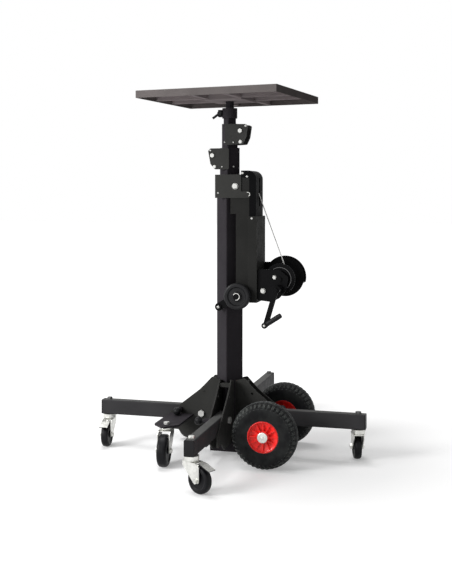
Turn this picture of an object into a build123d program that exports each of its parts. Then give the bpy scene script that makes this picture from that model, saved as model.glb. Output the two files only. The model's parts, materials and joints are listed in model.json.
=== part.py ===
from build123d import *
from math import atan2, cos, degrees, hypot, pi, radians, sin, sqrt
import os

# A hand-cranked material lift: a four-section telescopic mast on four folding legs,
# with a swivelling table on top, a geared winch on the side, castors and two big wheels.
# Millimetres. The right leg points along +X, the rear leg along +Y and Z is up from the
# floor. Pieces are drawn about the mast's axis and then moved so that the origin lies
# midway between the leg ends.

# Mast sections, square tubes standing on their corners towards the legs
mast_side = 80
mast_wall = 4
mast_foot = 26
mast_top = 1144
stage_a_side = 62
stage_a_wall = 3
stage_a_shown = 111
stage_b_side = 50
stage_b_wall = 3
stage_b_shown = 99
stage_c_side = 40
stage_c_wall = 2.5
stage_c_shown = 23
tube_corner = 5
stage_floor_gap = 30
stage_step = 14
glide_height = 40
glide_gap = 0.3

# Legs
leg_height = 60
leg_width = 40
leg_wall = 3
leg_reach = 561
rear_leg_reach = 770
leg_end_cap = 5
leg_inner_end = 86
pivot_radius = 114
pivot_bolt = 14
castor_inset = 31
lock_radius = 92
lock_angle = 8
lock_pin = 10
running_gap = 0.05
slide_gap = 0.3

# Gusset plates beside each leg
gusset_thickness = 5
gusset_gap = 1
gusset_top = 302
gusset_peak = 313
gusset_reach = 275
gusset_outer_top = 140
gusset_bottom = 88
gusset_lobe_reach = 177
gusset_lobe_bottom = 57
gusset_lobe_run = 39
gusset_slope_run = 80
gusset_slope_rise = 61
gusset_neck_out = 7
gusset_neck_drop = 43
gusset_brow_in = 15
gusset_brow_drop = 21
gusset_peak_run = 11
gusset_corner = 8
stop_inner = 58
stop_length = 23
stop_height = 14
stop_drop = 4

# Box round the foot of the mast
base_side = 132
base_bottom = 20
base_top = 100
base_wall = 5

# Castors under the leg ends
castor_height = 130
castor_wheel = 100
castor_width = 32
castor_trail = 42
castor_stem = 12
castor_bolt_head = 9
fork_plate = 3
fork_gap = 2.5
castor_axle = 12
castor_axle_end = 8
swivel_radius = 28
castor_round = 0.28
castor_dish = 0.34
castor_hub = 13
pedal_thickness = 3
castor_headings = {"left": -84, "front": -27, "right": 105, "rear": -30}

# Castors on plates beside the left leg, for rolling the folded lift
mid_height = 147
mid_wheel = 125
mid_width = 40
mid_trail = 44
mid_radius = 200
mid_offset = 220
mid_plate = 8
mid_plate_width = 100
mid_plate_reach = 264
mid_plate_chamfer = 45
mid_headings = {"front": -84, "rear": -123}

# Big wheels beside the right leg
wheel_size = 260
wheel_width = 85
wheel_x = 192
wheel_y = 192
tyre_seat = 62
rim_radius = 69
rim_flange = 9
rim_sheet = 4
rim_disc = 8
rim_holes = 8
rim_hole = 9
hub_radius = 24
axle_radius = 10
axle_cap = 20.5
axle_arm = 50
axle_arm_wall = 4
axle_end_plate = 8

# Head bracket on the mast and the pulley over which the lifting cable runs
plate = 4
head_plate_gap = 0.4
head_left = 46
head_right = 63
head_tail = 97
head_depth = 95
head_step_depth = 69
cable = 4
pulley_groove = 27
pulley_rim = 30
pulley_width = 16
pulley_depth = 20
cover_width = 120
cover_wall = 3
cover_face = 126
cover_depth = 169
cover_rise = 16
cover_round = 34
cover_slot = 18
cover_slot_below = 110
cover_slot_above = 6
cover_slot_inset = 20

# Post and base plate that carry the winch
post_left = 41
post_bottom = 628
post_top_depth = 12
post_tab = 18
post_tab_length = 147
winch_base_depth = 31
winch_base_width = 154
winch_base_wall = 4

# Winch
winch_x = 221
winch_z = 724
crank_drop = 36
gear_module = 2
pinion_teeth = 12
gear_width = 10
drum_core = 25
drum_near_flange = 62
drum_far_flange = 80
drum_flange = 4
drum_near = -46
drum_far = 52
drum_axle = 16
frame_near = -66
frame_far = 62
frame_cheek = 38
frame_corner = 8
frame_back_low = 16
frame_back_high = 34
frame_far_low = 30
frame_far_high = 60
guard_radius = 87
guard_chord = 59
guard_turn = -30
crank_shaft = 14
crank_boss = 18
crank_length = 147
crank_arm_width = 21
crank_arm_thickness = 6
crank_arm_y = -119
crank_angle = -106.6
grip_length = 78
grip_radius = 10
grip_angle = 33
grip_bolt = 8
grip_eye = 12

# Brackets at the heads of the two inner sections, each with a small pulley
small_pulley_rim = 16
small_pulley_groove = 13
small_pulley_width = 14
small_pulley_gap = 2
small_axle = 10
bracket_a_depth = 32
bracket_b_depth = 31

# Clamp collar, turning post and table
collar_radius = 31
collar_height = 41
collar_slot = 5
lever_length = 36
lever_radius = 5
lever_angle = 215
lever_x = -38
table_post_gap = 0.3
table_post_wall = 4
table_post_depth = 90
table_length = 600
table_width = 520
table_rim = 29
table_rise = 60
table_sheet = 3
table_rib = 22
table_rib_half = 10
table_rib_inset = 12
table_plate = 170
table_plate_thickness = 6
table_turn = -7.8

# Roller on the front of the mast, on which the lift is slid into a vehicle
roller_radius = 54
roller_width = 26
roller_x = 56
roller_z = 654
roller_hub = 20
roller_axle = 16
roller_arm_x = -29.5
roller_arm_z = 606
roller_arm_gap = 4
roller_spacer = 15

# Worked out from the sizes above
stage_a_top = mast_top + stage_a_shown
stage_b_top = stage_a_top + stage_b_shown
stage_c_top = stage_b_top + stage_c_shown
collar_top = stage_c_top + collar_height
table_top_z = collar_top + table_rise
bracket_a_z = stage_a_top - bracket_a_depth
bracket_b_z = stage_b_top - bracket_b_depth
head_bottom = mast_top - head_depth
head_step = mast_top - head_step_depth
pulley_z = mast_top - pulley_depth
cover_top = mast_top + cover_rise
cover_bottom = mast_top - cover_depth
winch_base_top = cover_bottom
post_top = mast_top - post_top_depth
post_tab_bottom = post_top - post_tab_length
leg_bottom = castor_height
leg_top = leg_bottom + leg_height
pivot_z = leg_bottom + leg_height / 2
mast_corner = mast_side / sqrt(2)
gusset_inner = leg_width / 2 + gusset_gap
gusset_outer = gusset_inner + gusset_thickness
lock_x = pivot_radius + lock_radius * cos(radians(lock_angle))
lock_z = pivot_z + lock_radius * sin(radians(lock_angle))
raised_x = pivot_radius - lock_radius * sin(radians(lock_angle))
raised_z = pivot_z + lock_radius * cos(radians(lock_angle))


def corner_reach(side, radius=tube_corner):
    """Distance from the axis to the rounded corner of a square section on its corner."""
    return side / sqrt(2) - radius * (sqrt(2) - 1)


inner_corner = max(tube_corner - mast_wall, 0.5)
mast_bore = mast_side - 2 * mast_wall
cable_x = (corner_reach(stage_a_side) + corner_reach(mast_bore, inner_corner)) / 2
pulley_x = cable_x + pulley_groove
drum_wrap = drum_core + cable / 2 + slide_gap
crank_z = winch_z - crank_drop
wheel_z = wheel_size / 2
hub_half = wheel_width / 2 - 2.5
head_plate_y = mast_corner + head_plate_gap
post_y = head_plate_y - plate
table_post_radius = stage_c_side / 2 - stage_c_wall - table_post_gap
stage_a_foot = mast_foot + stage_floor_gap
stage_b_foot = stage_a_foot + stage_step
stage_c_foot = stage_b_foot + stage_step
pedal_tip = castor_trail + 60
pedal_half = castor_width / 2 + fork_gap - 1
leg_turns = {"right": 0, "rear": 90, "left": 180, "front": 270}
leg_reaches = {"right": leg_reach, "rear": rear_leg_reach, "left": leg_reach, "front": leg_reach}
lock_sides = {"right": 1, "rear": 1, "left": 1, "front": -1}
wheel_sides = {"front": -1, "rear": 1}
front_heading = radians(castor_headings["front"] - leg_turns["front"])
front_castor_end = pedal_tip * cos(front_heading) + pedal_half * abs(sin(front_heading))
mast_y = -(rear_leg_reach - (leg_reach - castor_inset + front_castor_end)) / 2


def block(x, y, z):
    """Box between the low and high ends of each span."""
    spans = (x, y, z)
    centre = [(low + high) / 2 for low, high in spans]
    size = [high - low for low, high in spans]
    return Pos(*centre) * Box(*size)


def rod(start, axis, radius, length):
    """Cylinder from its start along an axis."""
    seat = Plane(origin=start, z_dir=axis)
    return seat * Cylinder(radius, length, align=(Align.CENTER, Align.CENTER, Align.MIN))


def hexagon(start, axis, across, length):
    """Hexagon head or nut from its start along an axis."""
    return extrude(Plane(origin=start, z_dir=axis) * RegularPolygon(across / sqrt(3), 6), length)


def upright(outline, y, thickness, corner=0):
    """Plate in the XZ plane whose face towards -Y is at y, its corners rounded if asked."""
    face = Polygon(*outline, align=None)
    if corner:
        face = fillet(face.vertices(), corner)
    return extrude(Plane.XZ.offset(-y) * face, thickness, dir=(0, 1, 0))


def both_sides(shape):
    """The shape and its mirror image behind the XZ plane."""
    return [shape, mirror(shape, about=Plane.XZ)]


def fuse(shapes):
    """One solid from shapes that meet."""
    whole = shapes[0]
    for shape in shapes[1:]:
        whole = whole + shape
    return whole


def turned(shape, angle):
    """The shape turned about the mast's axis."""
    return Rot(0, 0, angle) * shape


def save(name, shapes):
    """Writes one sub-part, in the frame whose origin lies midway between the leg ends."""
    solids = []
    for shape in shapes if isinstance(shapes, list) else [shapes]:
        solids.extend(shape.solids())
    placed = [Pos(0, mast_y, 0) * solid for solid in solids]
    node = placed[0] if len(placed) == 1 else Compound(children=placed)
    export_step(node, "parts/" + name + ".step")


def square_bar(side, low, high, radius=tube_corner):
    """Square section standing on its corner, from low to high."""
    return Pos(0, 0, low) * Rot(0, 0, 45) * extrude(RectangleRounded(side, side, radius), high - low)


def square_tube(side, wall, low, high):
    """Square tube standing on its corner, from low to high."""
    bore = side - 2 * wall
    return square_bar(side, low, high) - square_bar(bore, low, high, max(tube_corner - wall, 0.5))


def glides(inner, outer, width, low, high):
    """Four flat sliding pads between two square sections, one on each face."""
    pad = block((inner, outer), (-width / 2, width / 2), (low, high))
    return [turned(pad, 45 + 90 * side) for side in range(4)]


# Mast and its sections
def mast_tube():
    tube = square_tube(mast_side, mast_wall, mast_foot, mast_top)
    slot_low = pulley_z - pulley_rim - 3
    slot_half = pulley_width / 2 + 2
    slot_inner = corner_reach(stage_a_side) - slot_half
    return tube - block((slot_inner, mast_side), (-slot_half, slot_half), (slot_low, mast_top + 1))


def head_glides(side, bore, top):
    """Pads fixed in the head of an outer section, round the section of the given side."""
    return glides(side / 2 + glide_gap, bore / 2, side * 0.5, top - glide_height, top)


def stage(side, wall, foot, top, bore):
    """Inner mast section with the pads at its foot that slide in the bore outside it."""
    tube = square_tube(side, wall, foot, top)
    return [tube] + glides(side / 2, bore / 2 - glide_gap, side * 0.5, foot, foot + glide_height)


# Gusset plates, foot box and what carries the wheels
def gusset():
    outline = [
        (mast_corner / 2, gusset_lobe_bottom),
        (gusset_lobe_reach, gusset_lobe_bottom),
        (gusset_lobe_reach + gusset_lobe_run, gusset_bottom),
        (gusset_reach, gusset_bottom),
        (gusset_reach, gusset_outer_top),
        (gusset_reach - gusset_slope_run, gusset_outer_top + gusset_slope_rise),
        (pivot_radius + gusset_neck_out, gusset_top - gusset_neck_drop),
        (pivot_radius - gusset_brow_in, gusset_top - gusset_brow_drop),
        (stop_inner + gusset_peak_run, gusset_peak),
        (mast_corner / 2, gusset_top),
    ]
    sheet = upright(outline, gusset_inner, gusset_thickness, gusset_corner)
    holes = [(pivot_radius, pivot_z, pivot_bolt / 2), (lock_x, lock_z, lock_pin / 2 + slide_gap)]
    holes.append((raised_x, raised_z, lock_pin / 2 + slide_gap))
    for x, z, radius in holes:
        sheet = sheet - rod((x, 0, z), (0, 1, 0), radius, leg_width * 2)
    return sheet


def gusset_plates():
    """Two plates on each side of every leg and the small cap that joins them at the top."""
    core = square_bar(mast_side, 0, mast_top) + foot_block(0)
    plates = []
    for turn in leg_turns.values():
        for sheet in both_sides(gusset()):
            plates.append(turned(sheet, turn) - core)
        cap_z = gusset_top - stop_drop
        cap_x = (stop_inner, stop_inner + stop_length)
        cap = block(cap_x, (-gusset_inner, gusset_inner), (cap_z - stop_height, cap_z))
        plates.append(turned(cap, turn))
    return plates


def foot_block(inset):
    half = base_side / 2 - inset
    return block((-half, half), (-half, half), (base_bottom, base_top))


def base_box():
    half = base_side / 2 - base_wall
    room = block((-half, half), (-half, half), (mast_foot, base_top - base_wall))
    return foot_block(0) - room - square_bar(mast_side, mast_foot, mast_top)


def wheel_arm():
    """Square arm from the right leg's gusset plate, with the axle's end plate."""
    half = axle_arm / 2
    end = wheel_y - hub_half - 1
    spans = (wheel_x - half, wheel_x + half), (wheel_z - half, wheel_z + half)
    arm = block(spans[0], (gusset_outer, end), spans[1])
    inner = half - axle_arm_wall
    depth = (gusset_outer, end - axle_end_plate)
    room = block((wheel_x - inner, wheel_x + inner), depth, (wheel_z - inner, wheel_z + inner))
    return arm - room - rod((wheel_x, 0, wheel_z), (0, 1, 0), axle_radius, wheel_y)


def wheel_axle():
    """Axle fixed in its arm, with a washer and cap outside the hub."""
    start = wheel_y - hub_half - 1 - axle_end_plate
    cap_y = wheel_y + hub_half + slide_gap
    pin = rod((wheel_x, start, wheel_z), (0, 1, 0), axle_radius, cap_y - start)
    cap = rod((wheel_x, cap_y, wheel_z), (0, 1, 0), axle_cap, 7)
    cap = fillet(cap.edges().filter_by(GeomType.CIRCLE).sort_by(Axis.Y)[-1], 3)
    return pin + cap


def castor_plate():
    """Flat plate beside the left leg over a castor."""
    low, high = -mid_radius - mid_plate_width / 2, -mid_radius + mid_plate_width / 2
    cut = mid_plate_chamfer
    outline = [(low, gusset_outer), (high, gusset_outer), (high, mid_plate_reach - cut)]
    outline += [(high - cut, mid_plate_reach), (low + cut, mid_plate_reach), (low, mid_plate_reach - cut)]
    sheet = Pos(0, 0, mid_height) * extrude(Polygon(*outline, align=None), mid_plate, dir=(0, 0, 1))
    stem = castor_stem / 2
    return sheet - rod((-mid_radius, mid_offset, 0), (0, 0, 1), stem, mast_top)


def castor_stem_bolt(x, y, low, high):
    """Bolt that a castor swivels on, from inside the castor's head to its hexagon on top."""
    shank = rod((x, y, low - castor_bolt_head), (0, 0, 1), castor_stem / 2, high - low + castor_bolt_head)
    return shank + hexagon((x, y, high), (0, 0, 1), 20, castor_bolt_head)


def pivot_bolts():
    bolts = []
    for turn in leg_turns.values():
        shank = rod((pivot_radius, -gusset_outer, pivot_z), (0, 1, 0), pivot_bolt / 2, 2 * gusset_outer)
        head = hexagon((pivot_radius, gusset_outer, pivot_z), (0, 1, 0), 24, 9)
        nut = hexagon((pivot_radius, -gusset_outer, pivot_z), (0, -1, 0), 24, 11)
        bolts.append(turned(shank + head + nut, turn))
    return bolts


# Legs and their lock pins
def leg(name):
    reach = leg_reaches[name]
    end = reach - leg_end_cap
    seat = Plane(origin=(leg_inner_end, 0, pivot_z), z_dir=(1, 0, 0), x_dir=(0, 1, 0))
    outer = extrude(seat * RectangleRounded(leg_width, leg_height, leg_wall + 2), end - leg_inner_end)
    bore = extrude(seat * RectangleRounded(leg_width - 2 * leg_wall, leg_height - 2 * leg_wall, 2), reach)
    tube = outer - bore
    holes = [(pivot_radius, pivot_z, pivot_bolt / 2 + running_gap)]
    holes.append((lock_x, lock_z, lock_pin / 2 + slide_gap))
    for x, z, radius in holes:
        tube = tube - rod((x, -leg_width, z), (0, 1, 0), radius, 2 * leg_width)
    castor_x = reach - castor_inset
    tube = tube - rod((castor_x, 0, 0), (0, 0, 1), castor_stem / 2, mast_top)
    cap_seat = Plane(origin=(end, 0, pivot_z), z_dir=(1, 0, 0), x_dir=(0, 1, 0))
    cap = extrude(cap_seat * RectangleRounded(leg_width, leg_height, leg_wall + 2), leg_end_cap)
    cap = fillet(cap.faces().sort_by(Axis.X)[-1].edges(), 2)
    plug = extrude(cap_seat * RectangleRounded(leg_width - 2 * leg_wall, leg_height - 2 * leg_wall, 2), -12)
    bolt = castor_stem_bolt(castor_x, 0, leg_bottom, leg_top)
    return [turned(piece, leg_turns[name]) for piece in (tube, cap + plug, bolt)]


def lock_sleeves():
    sleeves = []
    for name, turn in leg_turns.items():
        side = lock_sides[name]
        barrel = rod((lock_x, side * gusset_outer, lock_z), (0, side, 0), lock_pin + 1, 20)
        barrel = barrel - rod((lock_x, 0, lock_z), (0, side, 0), lock_pin / 2 + slide_gap, 3 * gusset_outer)
        sleeves.append(turned(barrel, turn))
    return sleeves


def lock_knob(name):
    """Pin with a ball knob, drawn with its nose just clear of the leg."""
    side = lock_sides[name]
    nose = leg_width / 2 + slide_gap
    ball = gusset_outer + 46
    pin = rod((lock_x, side * nose, lock_z), (0, side, 0), lock_pin / 2, ball - nose)
    collar = rod((lock_x, side * (gusset_outer + 22), lock_z), (0, side, 0), 8, 14)
    return turned(pin + collar + Pos(lock_x, side * ball, lock_z) * Sphere(13), leg_turns[name])


# Castors: forks, wheels and brake pedals, drawn at the swivel axis and trailing along +X
def castor_fork(height, wheel, width, trail, pedal_pivot=None):
    inner = width / 2 + fork_gap
    crown = wheel + 8
    top = height - slide_gap
    axle_z = wheel / 2
    crown_top = crown + fork_plate
    outer = inner + fork_plate
    outline = [
        (-24, crown_top),
        (-24, crown - 12),
        (trail - 13, axle_z - 8),
        (trail + 13, axle_z - 8),
        (trail + 15, axle_z + 8),
        (trail + 14, crown - 6),
        (trail - 4, crown_top),
    ]
    cheeks = both_sides(upright(outline, inner, fork_plate, 5))
    top_plate = block((-26, trail - 8), (-outer, outer), (crown, crown_top))
    head = rod((0, 0, crown_top), (0, 0, 1), swivel_radius, top - crown_top)
    head = chamfer(head.edges().sort_by(Axis.Z)[0], 3)
    axle_half = outer + castor_axle_end
    axle = rod((trail, -axle_half, axle_z), (0, 1, 0), castor_axle / 2, 2 * axle_half)
    nuts = [hexagon((trail, s * outer, axle_z), (0, s, 0), 18, 6) for s in (-1, 1)]
    body = fuse([top_plate] + cheeks + [head, axle] + nuts)
    if pedal_pivot:
        pin = rod((pedal_pivot[0], -inner, pedal_pivot[1]), (0, 1, 0), 3, 2 * inner)
        body = body + pin
    bore = rod((0, 0, height - castor_bolt_head), (0, 0, 1), castor_stem / 2 + running_gap, castor_bolt_head)
    pocket = rod((0, 0, crown - 1), (0, 0, 1), castor_stem / 2 + 3, height - castor_bolt_head - crown + 1)
    return body - bore - pocket


def castor_roll(wheel, width, trail):
    """Castor wheel: rounded tread, dished sides and a bore for the axle."""
    roll = Cylinder(wheel / 2, width, rotation=(90, 0, 0))
    roll = fillet(roll.edges(), width * castor_round)
    for side in (-1, 1):
        dish = rod((0, side * (width / 2 - 4), 0), (0, side, 0), wheel * castor_dish, 6)
        roll = roll - (dish - rod((0, 0, 0), (0, side, 0), castor_hub, width))
    roll = roll - rod((0, -width, 0), (0, 1, 0), castor_axle / 2 + running_gap, 2 * width)
    return Pos(trail, 0, wheel / 2) * roll


def castor_pedal():
    pivot_x, pivot_height = pedal_pivot
    half = pedal_half
    blade = [(0, 5), (0, 5 - pedal_thickness), (12, -2), (50, -16), (52, -13), (14, 2)]
    blade = [(pivot_x + x, pivot_height + z) for x, z in blade]
    barrel = rod((pivot_x, -half, pivot_height), (0, 1, 0), 5, 2 * half)
    body = upright(blade, -half, 2 * half) + barrel
    return body - rod((pivot_x, -half, pivot_height), (0, 1, 0), 3 + running_gap, 2 * half)


pedal_pivot = (castor_trail + 8, castor_wheel + 6)


def at_leg_end(name, shape):
    """A castor's piece set under the end of a leg and turned to its heading."""
    reach = leg_reaches[name] - castor_inset
    angle = radians(leg_turns[name])
    return Pos(reach * cos(angle), reach * sin(angle), 0) * Rot(0, 0, castor_headings[name]) * shape


def beside_left_leg(name, shape):
    return Pos(-mid_radius, wheel_sides[name] * mid_offset, 0) * Rot(0, 0, mid_headings[name]) * shape


# Big wheels
def tyre():
    half = wheel_width / 2
    bead = half - rim_flange
    outer = wheel_size / 2
    side = [(rim_radius, bead), (rim_radius + 2, half - 4), (rim_radius + 16, half)]
    side += [(outer - 22, half), (outer - 5, half - 14)]
    mirrored = [(radius, -y) for radius, y in reversed(side)]
    section = Polygon((tyre_seat, -bead), (tyre_seat, bead), *side, (outer, 0), *mirrored, align=None)
    section = fillet(section.vertices().sort_by(Axis.X)[6:], 5)
    return revolve(Plane.XY * section, Axis.Y)


def rim():
    half = wheel_width / 2
    bore, well = axle_radius + running_gap, tyre_seat - rim_sheet
    bead = half - rim_flange
    lip, disc = bead + rim_sheet, rim_disc / 2
    profile = [(bore, hub_half), (hub_radius, hub_half), (hub_radius, disc), (well, disc), (well, lip)]
    profile += [(rim_radius, lip), (rim_radius, bead), (tyre_seat, bead)]
    mirrored = [(radius, -y) for radius, y in reversed(profile)]
    body = revolve(Plane.XY * Polygon(*profile, *mirrored, align=None), Axis.Y)
    for hole in range(rim_holes):
        angle = 2 * pi * (hole + 0.5) / rim_holes
        middle = (hub_radius + well) / 2
        body = body - rod((middle * cos(angle), -half, middle * sin(angle)), (0, 1, 0), rim_hole, wheel_width)
    return body


def beside_right_leg(name, shape):
    return Pos(wheel_x, wheel_sides[name] * wheel_y, wheel_z) * shape


# Head of the mast: bracket, pulley, cover and post for the winch
def head_bracket():
    outline = [(-head_left, head_bottom), (-head_left, mast_top), (head_right, mast_top)]
    outline += [(head_right, head_step), (head_tail, head_step), (head_tail, head_bottom)]
    return both_sides(upright(outline, head_plate_y, plate))


def pulley(rim_size, groove, width, bore):
    """Grooved pulley on the Y axis."""
    half = width / 2
    floor = groove - cable / 2 - slide_gap
    section = Polygon((bore, -half), (rim_size, -half), (rim_size, -half + 2), (floor, -cable / 2),
                      (floor, cable / 2), (rim_size, half - 2), (rim_size, half), (bore, half), align=None)
    return revolve(Plane.XY * section, Axis.Y)


def winch_post():
    """Channel that stands beside the mast: two sides joined by a web."""
    outline = [(post_left, post_bottom), (head_tail, post_bottom), (head_tail, post_top)]
    outline += [(post_tab, post_top), (post_tab, post_tab_bottom), (post_left, post_tab_bottom)]
    sides = both_sides(upright(outline, post_y, plate))
    web = block((head_tail - plate, head_tail), (-post_y, post_y), (post_bottom, cover_bottom))
    axle = rod((pulley_x, -post_y, pulley_z), (0, 1, 0), small_axle, 2 * post_y)
    sleeves = [rod((pulley_x, s * (pulley_width / 2 + slide_gap), pulley_z), (0, s, 0), 14,
                   post_y - pulley_width / 2 - slide_gap) for s in (-1, 1)]
    return fuse(sides + [web, axle] + sleeves)


def pulley_cover():
    """Folded cover over the pulley, open towards the mast and slotted for the cable."""
    left, inner, half = head_right + slide_gap, head_tail, cover_width / 2

    def shell(shrink, y):
        face, top = cover_face - shrink, cover_top - shrink
        low = cover_bottom - (1 if shrink else 0)
        start = left - (1 if shrink else 0)
        step = post_top + (-1 if shrink else 0)
        edge = inner - (1 if shrink else 0)
        outline = [(start, step), (edge, step), (edge, low), (face, low), (face, top), (start, top)]
        face_outline = Polygon(*outline, align=None)
        corner = face_outline.vertices().sort_by(lambda v: v.X + v.Y)[-1]
        face_outline = fillet(corner, cover_round - shrink)
        return extrude(Plane.XZ.offset(y) * face_outline, 2 * y, dir=(0, 1, 0))

    cover = shell(0, half) - shell(cover_wall, half - cover_wall)
    slot_z = (pulley_z - cover_slot_below, pulley_z + cover_slot_above)
    slot = block((pulley_x + cover_slot_inset, cover_face + 1), (-cover_slot / 2, cover_slot / 2), slot_z)
    return cover - slot


def winch_base():
    half = winch_base_width / 2
    face = head_tail + winch_base_depth + winch_base_wall
    box = block((head_tail, face), (-half, half), (post_bottom, winch_base_top))
    wall = winch_base_wall
    room_z = (post_bottom + wall, winch_base_top - wall)
    room = block((head_tail, face - wall), (-half + wall, half - wall), room_z)
    return box - room


# Winch: frame, drum with its gear, crank with its pinion and the grip
def involute(angle):
    return sin(angle) / cos(angle) - angle


def gear(teeth, width, spin):
    """Spur gear about the Y axis with involute flanks, its first tooth turned by spin."""
    pitch = gear_module * teeth / 2
    base = pitch * cos(radians(20))
    tip = pitch + 0.9 * gear_module
    root = pitch - 1.2 * gear_module
    half = pi / (2 * teeth) - 0.1 / pitch + involute(radians(20))
    low = max(base, root) + 0.01
    flank = []
    for step in range(4):
        radius = low + (tip - low) * step / 3
        turn = half - involute(acos_of(base / radius))
        flank.append((radius, turn))
    outline = []
    for tooth in range(teeth):
        centre = 2 * pi * tooth / teeth + radians(spin)
        outline.append((root, centre - half - 0.02))
        outline += [(radius, centre - turn) for radius, turn in flank]
        outline += [(radius, centre + turn) for radius, turn in reversed(flank)]
        outline.append((root, centre + half + 0.02))
    points = [(radius * cos(turn), radius * sin(turn)) for radius, turn in outline]
    return extrude(Plane.XZ * Polygon(*points, align=None), width, dir=(0, 1, 0))


def acos_of(value):
    return atan2(sqrt(max(0, 1 - value * value)), value)


def winch_frame():
    back = head_tail + winch_base_depth + winch_base_wall
    near_outline = [
        (back, post_bottom + 10),
        (back, winch_z + frame_cheek),
        (winch_x, winch_z + frame_cheek),
        (winch_x + frame_cheek, winch_z + 10),
        (winch_x + 30, crank_z - 8),
        (winch_x + 2, crank_z - 40),
        (winch_x - 30, post_bottom + 4),
    ]
    near = upright(near_outline, frame_near, plate, frame_corner)
    back_span = (post_bottom + frame_back_low, winch_z + frame_back_high)
    back_plate = block((back, back + plate), (frame_near, frame_far + plate), back_span)
    far = rod((winch_x, frame_far, winch_z), (0, 1, 0), guard_radius, plate)
    far_span = (post_bottom + frame_far_low, winch_z + frame_far_high)
    far = far + block((back, winch_x), (frame_far, frame_far + plate), far_span)
    chord = Pos(winch_x, frame_far + plate / 2, winch_z) * Rot(0, guard_turn, 0)
    below = Pos(0, 0, -guard_chord - guard_radius)
    far = far - chord * below * Box(4 * guard_radius, 4 * plate, 2 * guard_radius)
    boss = rod((winch_x, frame_near, crank_z), (0, -1, 0), 14, crank_boss)
    body = fuse([back_plate, near, far, boss])
    drum_bore = drum_axle / 2 + running_gap
    crank_bore = crank_shaft / 2 + running_gap
    drum_start = (winch_x, frame_near - 1, winch_z)
    crank_start = (winch_x, frame_near - crank_boss - 1, crank_z)
    body = body - rod(drum_start, (0, 1, 0), drum_bore, frame_far - frame_near + 2 * plate)
    return body - rod(crank_start, (0, 1, 0), crank_bore, crank_boss + 2 * plate)


def drum():
    near, far = drum_near, drum_far
    core = rod((0, near, 0), (0, 1, 0), drum_core, far - near)
    flanges = [rod((0, near, 0), (0, 1, 0), drum_near_flange, drum_flange)]
    flanges.append(rod((0, far, 0), (0, 1, 0), drum_far_flange, drum_flange))
    wheel = Pos(0, near - gear_width - 2, 0) * gear(gear_teeth(), gear_width, 0)
    collar = rod((0, near - 2, 0), (0, 1, 0), drum_core - 6, 2)
    axle = rod((0, frame_near - 1, 0), (0, 1, 0), drum_axle / 2, frame_far + plate + 2 - frame_near)
    ends = [rod((0, frame_near - slide_gap, 0), (0, -1, 0), 11, 6)]
    ends.append(rod((0, frame_far + plate + slide_gap, 0), (0, 1, 0), 11, 6))
    return Pos(winch_x, 0, winch_z) * fuse([core] + flanges + [collar, wheel, axle] + ends)


def gear_teeth():
    return round(2 * crank_drop / gear_module - pinion_teeth)


def crank_point(along):
    """Point on the crank arm at a distance from its shaft."""
    angle = radians(crank_angle)
    return (winch_x + along * cos(angle), crank_z + along * sin(angle))


def crank():
    far_end = drum_near - 2
    arm_face = crank_arm_y - crank_arm_thickness / 2
    shaft = rod((winch_x, arm_face - 8, crank_z), (0, 1, 0), crank_shaft / 2, far_end - arm_face + 8)
    half_tooth = 180 / pinion_teeth
    pinion = gear(pinion_teeth, gear_width, half_tooth)
    pinion = Pos(winch_x, drum_near - gear_width - 2, crank_z) * pinion
    hub = rod((winch_x, arm_face, crank_z), (0, 1, 0), 15, frame_near - crank_boss - slide_gap - arm_face)
    end_x, end_z = crank_point(crank_length)
    arm = SlotCenterToCenter(crank_length, crank_arm_width)
    mid_x, mid_z = crank_point(crank_length / 2)
    seat = Plane.XZ.offset(-arm_face) * Pos(mid_x, mid_z) * Rot(0, 0, crank_angle)
    arm = extrude(seat * arm, crank_arm_thickness, dir=(0, 1, 0))
    bolt_bore = grip_bolt / 2 + running_gap
    arm = arm - rod((end_x, arm_face - 1, end_z), (0, 1, 0), bolt_bore, crank_arm_thickness + 2)
    return fuse([shaft, pinion, hub, arm])


def grip():
    """Grip on the bolt at the end of the crank arm, lying in front of the arm."""
    end_x, end_z = crank_point(crank_length)
    arm_front = crank_arm_y - crank_arm_thickness / 2
    angle = radians(grip_angle)
    direction = (cos(angle), 0, sin(angle))
    eye_half = grip_radius + 1
    middle = arm_front - slide_gap - eye_half
    root = grip_eye / 2
    start = (end_x + root * cos(angle), middle, end_z + root * sin(angle))
    handle = rod(start, direction, grip_radius, grip_length - root)
    handle = fillet(handle.edges().filter_by(GeomType.CIRCLE).sort_by(Axis.X)[-1], grip_radius / 2)
    eye = rod((end_x, middle - eye_half, end_z), (0, 1, 0), grip_eye, 2 * eye_half)
    bolt_end = crank_arm_y + crank_arm_thickness / 2 + slide_gap
    bolt = rod((end_x, middle + eye_half, end_z), (0, 1, 0), grip_bolt / 2, bolt_end - middle - eye_half)
    nut = rod((end_x, bolt_end, end_z), (0, 1, 0), grip_bolt, 6)
    head = rod((end_x, middle - eye_half, end_z), (0, -1, 0), grip_bolt, 5)
    return fuse([eye, handle, bolt, nut, head])


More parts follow.
